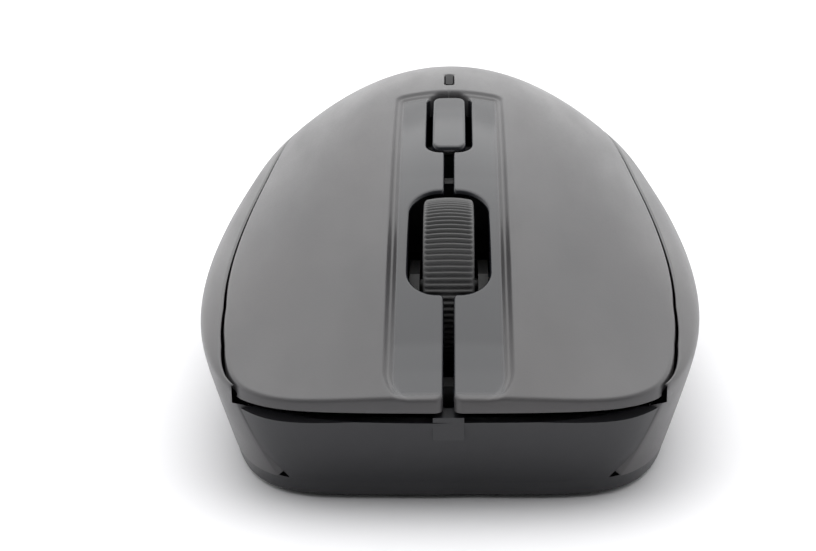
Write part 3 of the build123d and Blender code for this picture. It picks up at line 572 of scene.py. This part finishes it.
def tyre_skin(material):
    """Ribbed rubber tyre, slightly crowned, with smooth shoulders."""
    radius, half = WHEEL_SIZE
    hub_radius = node_mm("wheel_hub")[1][1] - WHEEL_Y
    count = RIBS * RIB_STEPS
    angles = np.linspace(0, 2 * pi, count, endpoint=False)
    wave = 0.5 + 0.5 * np.cos(angles * RIBS)
    rib = wave**0.7
    shares = np.sin(np.linspace(-pi / 2, pi / 2, TYRE_STATIONS))
    points = []
    for share in shares:
        x = share * half
        shoulder = np.clip((abs(share) - 0.86) / 0.14, 0, 1)
        base = radius - TYRE_CROWN * share**2 - 0.55 * (1 - sqrt(max(0.0, 1 - shoulder**2)))
        fade = 1 - soft_step(np.array((abs(share) - 0.84) / 0.1))
        ring = base - RIB_DEPTH * (1 - rib) * fade
        points.append(np.stack([np.full(count, x), WHEEL_Y + ring * np.cos(angles),
                                WHEEL_Z + ring * np.sin(angles)], -1))
    for x in (half - 0.05, -half + 0.05):
        ring = hub_radius + 0.02
        points.append(np.stack([np.full(count, x), WHEEL_Y + ring * np.cos(angles),
                                WHEEL_Z + ring * np.sin(angles)], -1))
    faces = []
    total = len(points)
    for station in range(total):
        following = (station + 1) % total
        for k in range(count):
            n = (k + 1) % count
            faces.append((station * count + k, following * count + k, following * count + n,
                          station * count + n))
    piece = make_object("wheel_tyre_ribbed", np.concatenate(points), faces, "wheel", "wheel_tyre",
                        material)
    piece.data.set_sharp_from_angle(angle=radians(60))
    return piece


def dpi_skin(material):
    """Oblong button with rounded edges and upright sides."""
    half_x, half_y = DPI_SIZE[0] / 2, DPI_SIZE[1] / 2
    corners = [(half_x, DPI_Y - half_y, DPI_CORNER), (half_x, DPI_Y + half_y, DPI_CORNER),
               (-half_x, DPI_Y + half_y, DPI_CORNER), (-half_x, DPI_Y - half_y, DPI_CORNER)]
    loop = fill_gaps(rounded_loop(corners), 0.3)
    edge = [np.vstack([loop, loop[:1]])]
    bottom = node_mm("dpi_button")[0][2] + 0.8

    def top(plan):
        surface = top_z(plan[:, 0] * 0.6, plan[:, 1]) - np.interp(plan[:, 1], station_y, station_depth) + 0.1
        return surface - edge_drop(distance_to(plan, edge), 0.4)

    points, faces, _ = skin_mesh(loop, np.arange(-2, 2.1, 0.35), np.arange(-10, 6, 0.5), top,
                                 lambda plan: np.full(len(plan), bottom))
    piece = make_object("dpi_button_skin", points, faces, "dpi_key", "dpi_button", material)
    piece.data.set_sharp_from_angle(angle=radians(50))
    return piece


# ---------------------------------------------------------------- materials
class Nodes:
    """Small helper for building one material's nodes."""

    def __init__(self, name):
        self.material = bpy.data.materials.new(name)
        self.material.use_nodes = True
        self.tree = self.material.node_tree
        self.shader = self.tree.nodes["Principled BSDF"]
        self.place = self.tree.nodes.new("ShaderNodeTexCoord").outputs["Object"]

    @classmethod
    def of(cls, material):
        """Helper over a material that already has its nodes."""
        nodes = cls.__new__(cls)
        nodes.material = material
        nodes.tree = material.node_tree
        nodes.shader = nodes.tree.nodes["Principled BSDF"]
        nodes.place = nodes.tree.nodes.new("ShaderNodeTexCoord").outputs["Object"]
        return nodes

    def link(self, source, target):
        self.tree.links.new(source, target)

    def noise(self, scale, detail=4.0, roughness=0.5, stretch=(1, 1, 1)):
        """Noise in object space; scale is in cells per metre."""
        mapping = self.tree.nodes.new("ShaderNodeMapping")
        mapping.inputs["Scale"].default_value = stretch
        self.link(self.place, mapping.inputs["Vector"])
        node = self.tree.nodes.new("ShaderNodeTexNoise")
        node.inputs["Scale"].default_value = scale
        node.inputs["Detail"].default_value = detail
        node.inputs["Roughness"].default_value = roughness
        self.link(mapping.outputs["Vector"], node.inputs["Vector"])
        return node.outputs["Fac"]

    def ramp(self, source, low, high, low_value, high_value):
        """Straight ramp from one range to another, clamped."""
        node = self.tree.nodes.new("ShaderNodeMapRange")
        node.inputs["From Min"].default_value = low
        node.inputs["From Max"].default_value = high
        node.inputs["To Min"].default_value = low_value
        node.inputs["To Max"].default_value = high_value
        self.link(source, node.inputs["Value"])
        return node.outputs["Result"]

    def math(self, kind, first, second):
        node = self.tree.nodes.new("ShaderNodeMath")
        node.operation = kind
        for socket, value in zip(node.inputs, (first, second)):
            if isinstance(value, (int, float)):
                socket.default_value = value
            else:
                self.link(value, socket)
        return node.outputs[0]

    def mix(self, factor, first, second):
        """Blends two colours."""
        node = self.tree.nodes.new("ShaderNodeMix")
        node.data_type = "RGBA"
        self.link(factor, node.inputs["Factor"])
        for socket, value in zip(("A", "B"), (first, second)):
            target = [s for s in node.inputs if s.name == socket and s.type == "RGBA"][0]
            if isinstance(value, tuple):
                target.default_value = (*value, 1)
            else:
                self.link(value, target)
        return [s for s in node.outputs if s.type == "RGBA"][0]

    def bump(self, height, distance, strength=1.0, normal=None):
        node = self.tree.nodes.new("ShaderNodeBump")
        node.inputs["Strength"].default_value = strength
        node.inputs["Distance"].default_value = distance
        self.link(height, node.inputs["Height"])
        if normal is not None:
            self.link(normal, node.inputs["Normal"])
        self.link(node.outputs["Normal"], self.shader.inputs["Normal"])
        return node.outputs["Normal"]


SHELL_COLOUR = (0.066, 0.065, 0.068)
SHELL_PATCH = (0.076, 0.073, 0.075)
FLOOR_COLOUR = (0.014, 0.015, 0.019)


def moulded_plastic(name, colour, patch, roughness, coat=0.0, coat_roughness=0.1, grain=0.000012, specular=0.5):
    """Moulded plastic with fine grain, faint mottling and handling marks."""
    nodes = Nodes(name)
    shader = nodes.shader
    cloud = nodes.noise(60, 5, 0.55)
    fine = nodes.noise(4200, 2, 0.6)
    smear = nodes.noise(130, 6, 0.6, (1, 0.35, 1))
    shade = nodes.mix(nodes.ramp(cloud, 0.35, 0.65, 0, 1), colour, patch)
    nodes.link(shade, shader.inputs["Base Color"])
    rough = nodes.ramp(smear, 0.35, 0.7, roughness - 0.04, roughness + 0.05)
    nodes.link(nodes.math("ADD", rough, nodes.ramp(fine, 0.3, 0.7, -0.02, 0.02)), shader.inputs["Roughness"])
    shader.inputs["Coat Weight"].default_value = coat
    shader.inputs["Coat Roughness"].default_value = coat_roughness
    shader.inputs["Specular IOR Level"].default_value = specular
    nodes.bump(fine, grain, 0.5)
    return nodes.material


def shell_plastic(name):
    """Satin graphite plastic whose channel floor is moulded glossy and darker."""
    material = moulded_plastic(name, SHELL_COLOUR, SHELL_PATCH, 0.4, grain=0.000016)
    nodes = Nodes.of(material)
    shader = nodes.shader
    split = nodes.tree.nodes.new("ShaderNodeSeparateXYZ")
    nodes.link(nodes.place, split.inputs["Vector"])
    across = nodes.math("ABSOLUTE", split.outputs["X"], 0.0)
    floor_x = nodes.ramp(across, (CHANNEL_HALF - 0.1) * MM, (CHANNEL_HALF + 0.25) * MM, 1, 0)
    floor_y = nodes.ramp(split.outputs["Y"], (CHANNEL_REAR_Y - 1.6) * MM, (CHANNEL_REAR_Y - 1.2) * MM, 1, 0)
    front_y = nodes.ramp(split.outputs["Y"], -50.2 * MM, -49.2 * MM, 0, 1)
    gloss = nodes.math("MULTIPLY", nodes.math("MULTIPLY", floor_x, floor_y), front_y)
    colour = shader.inputs["Base Color"].links[0].from_socket
    rough = shader.inputs["Roughness"].links[0].from_socket
    nodes.link(nodes.mix(gloss, colour, FLOOR_COLOUR), shader.inputs["Base Color"])
    smooth = nodes.math("MULTIPLY", rough, nodes.ramp(gloss, 0, 1, 1.0, 0.36))
    nodes.link(smooth, shader.inputs["Roughness"])
    return material


def metal(name, colour, roughness):
    """Plated or drawn metal with fine scratches."""
    nodes = Nodes(name)
    shader = nodes.shader
    scratch = nodes.noise(2500, 4, 0.6, (1, 0.08, 1))
    dark = tuple(c * 0.8 for c in colour)
    nodes.link(nodes.mix(nodes.ramp(scratch, 0.3, 0.7, 0, 1), dark, colour), shader.inputs["Base Color"])
    nodes.link(nodes.ramp(scratch, 0.3, 0.7, roughness - 0.08, roughness + 0.08), shader.inputs["Roughness"])
    shader.inputs["Metallic"].default_value = 1.0
    nodes.bump(scratch, 0.00001, 0.4)
    return nodes.material


def clear_plastic(name, colour):
    """Clear moulded plastic."""
    nodes = Nodes(name)
    shader = nodes.shader
    haze = nodes.noise(900, 3, 0.5)
    shader.inputs["Base Color"].default_value = (*colour, 1)
    shader.inputs["Transmission Weight"].default_value = 0.9
    shader.inputs["IOR"].default_value = 1.49
    nodes.link(nodes.ramp(haze, 0.3, 0.7, 0.03, 0.09), shader.inputs["Roughness"])
    return nodes.material


materials = {
    "graphite_shell": shell_plastic("graphite_shell"),
    "dark_case": moulded_plastic("dark_case", (0.02, 0.02, 0.023), (0.024, 0.024, 0.027), 0.36),
    "black_frame": moulded_plastic("black_frame", (0.006, 0.006, 0.007), (0.009, 0.009, 0.009), 0.5),
    "wheel_rubber": moulded_plastic("wheel_rubber", (0.045, 0.045, 0.047), (0.055, 0.055, 0.055), 0.5,
                                    grain=0.00003),
    "hub_plastic": moulded_plastic("hub_plastic", (0.02, 0.02, 0.02), (0.026, 0.026, 0.026), 0.45),
    "white_plastic": moulded_plastic("white_plastic", (0.68, 0.67, 0.62), (0.72, 0.71, 0.67), 0.4),
    "switch_plastic": moulded_plastic("switch_plastic", (0.03, 0.03, 0.032), (0.04, 0.04, 0.042), 0.42),
    "board": moulded_plastic("board", (0.012, 0.09, 0.035), (0.016, 0.11, 0.045), 0.3, coat=0.4),
    "chip": moulded_plastic("chip", (0.018, 0.018, 0.019), (0.024, 0.024, 0.025), 0.5),
    "clear_lens": clear_plastic("clear_lens", (0.85, 0.9, 0.95)),
    "window_lens": moulded_plastic("window_lens", (0.004, 0.004, 0.005), (0.006, 0.006, 0.007), 0.6, specular=0.15),
    "led_epoxy": moulded_plastic("led_epoxy", (0.6, 0.6, 0.58), (0.66, 0.66, 0.64), 0.25),
    "can_metal": metal("can_metal", (0.72, 0.72, 0.74), 0.28),
    "contact_metal": metal("contact_metal", (0.68, 0.66, 0.6), 0.3),
    "screw_steel": metal("screw_steel", (0.5, 0.5, 0.52), 0.3),
    "cell_wrap": moulded_plastic("cell_wrap", (0.04, 0.1, 0.16), (0.05, 0.12, 0.19), 0.28, coat=0.5),
    "skate_ptfe": moulded_plastic("skate_ptfe", (0.05, 0.05, 0.052), (0.06, 0.06, 0.062), 0.45),
    "ribbon": moulded_plastic("ribbon", (0.5, 0.5, 0.48), (0.56, 0.56, 0.53), 0.4),
}
slot_of = {part["node"]: part["material_slot"] for part in frame["record"]["subparts"]}
for node_name, node_object in frame["nodes"].items():
    node_object.data.materials.clear()
    node_object.data.materials.append(materials[slot_of[node_name]])

graphite = materials["graphite_shell"]
left_key = key_skin(1, "left_button_skin", "left_button", graphite)
right_key = key_skin(-1, "right_button_skin", "right_button", graphite)
palm = palm_skin(graphite)
side_panel_skin(1, "left_side_panel_skin", "left_side_panel", graphite)
side_panel_skin(-1, "right_side_panel_skin", "right_side_panel", graphite)
dpi_skin(graphite)
tyre_skin(materials["wheel_rubber"])


# ---------------------------------------------------------------- floor, light and camera
def add_floor():
    """Plain white table."""
    half = 4.0
    corners = [(-half, -half, 0), (half, -half, 0), (half, half, 0), (-half, half, 0)]
    mesh = bpy.data.meshes.new("floor")
    mesh.from_pydata(corners, [], [(0, 1, 2, 3)])
    floor = bpy.data.objects.new("floor", mesh)
    bpy.context.scene.collection.objects.link(floor)
    mesh.materials.append(moulded_plastic("floor_paint", (0.86, 0.86, 0.875), (0.87, 0.87, 0.885), 0.6, grain=0.0))


def area_light(name, place, target, size, power, colour=(1, 1, 1)):
    light = bpy.data.lights.new(name, "AREA")
    light.shape = "RECTANGLE"
    light.size, light.size_y = size
    light.energy = power
    light.color = colour
    holder = bpy.data.objects.new(name, light)
    bpy.context.scene.collection.objects.link(holder)
    holder.location = place
    holder.rotation_euler = (Vector(target) - Vector(place)).to_track_quat("-Z", "Y").to_euler()


WORLD_NEAR, WORLD_FAR = 0.12, 1.75


def add_world():
    """Even white surroundings, dimmer on the camera's side."""
    world = bpy.data.worlds.new("studio")
    bpy.context.scene.world = world
    world.use_nodes = True
    tree = world.node_tree
    background = tree.nodes["Background"]
    background.inputs["Color"].default_value = (1, 1, 1, 1)
    coordinates = tree.nodes.new("ShaderNodeTexCoord")
    split = tree.nodes.new("ShaderNodeSeparateXYZ")
    tree.links.new(coordinates.outputs["Generated"], split.inputs["Vector"])
    ramp = tree.nodes.new("ShaderNodeMapRange")
    ramp.interpolation_type = "SMOOTHSTEP"
    ramp.inputs["From Min"].default_value = -0.9
    ramp.inputs["From Max"].default_value = 0.35
    ramp.inputs["To Min"].default_value = WORLD_NEAR
    ramp.inputs["To Max"].default_value = WORLD_FAR
    tree.links.new(split.outputs["Y"], ramp.inputs["Value"])
    tree.links.new(ramp.outputs["Result"], background.inputs["Strength"])


CAMERA_PLACE = (0.95, -229.3, 80.9)
CAMERA_PITCH, CAMERA_YAW, CAMERA_ROLL = 16.76, -1.65, -0.66
CAMERA_LENS = 78.1


def add_camera():
    data = bpy.data.cameras.new("camera")
    data.sensor_width = 36.0
    data.lens = CAMERA_LENS
    data.clip_start = 0.01
    camera = bpy.data.objects.new("camera", data)
    bpy.context.scene.collection.objects.link(camera)
    pitch, yaw, roll = radians(CAMERA_PITCH), radians(CAMERA_YAW), radians(CAMERA_ROLL)
    ahead = Vector((sin(yaw) * cos(pitch), cos(yaw) * cos(pitch), -sin(pitch)))
    right = Vector((cos(yaw), -sin(yaw), 0))
    up = right.cross(ahead)
    rolled_right = right * cos(roll) + up * sin(roll)
    rolled_up = up * cos(roll) - right * sin(roll)
    turn = Matrix((rolled_right, rolled_up, -ahead)).transposed()
    camera.matrix_world = Matrix.Translation(Vector(CAMERA_PLACE) * MM) @ turn.to_4x4()
    bpy.context.scene.camera = camera


bpy.context.scene.view_settings.view_transform = "Standard"
add_floor()
add_world()
area_light("top_softbox", (0, 0.25, 0.9), (0, 0, 0), (0.9, 1.2), 4)
add_camera()
